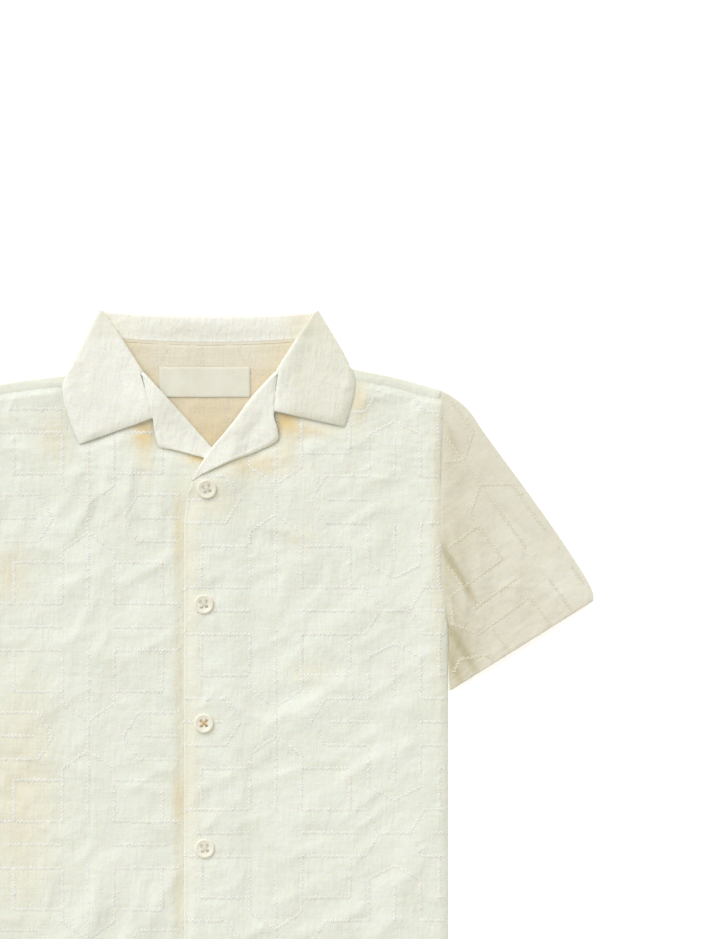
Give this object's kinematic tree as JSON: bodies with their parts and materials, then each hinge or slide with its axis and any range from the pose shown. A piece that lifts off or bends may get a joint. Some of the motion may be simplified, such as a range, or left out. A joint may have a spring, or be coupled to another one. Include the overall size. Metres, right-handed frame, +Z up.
{
  "type": "toddler's camp shirt",
  "caption": "Short-sleeved camp shirt with notched collar, turned-out lapels and four-hole buttons, buttoned and laid flat on its back",
  "frame": {"origin": "on the surface that the shirt lies on, under the middle of its outline", "axes": "+X across the shirt towards the wearer's left sleeve, +Y from the hem to the collar, +Z up from the surface, out of the shirt's front"},
  "size_m": [0.4552, 0.3848, 0.009],
  "materials": {
    "cloth": "cream cotton with a self-colour stitched lattice",
    "label": "woven satin, bare",
    "button": "cream, soft gloss"
  },
  "bodies": {
    "root": {"back": "cloth", "front_left": "cloth", "front_right": "cloth", "sleeve_left": "cloth", "sleeve_right": "cloth", "collar": "cloth", "label": "label", "button_1": "button", "button_2": "button", "button_3": "button", "button_4": "button"}
  },
  "joints": []
}
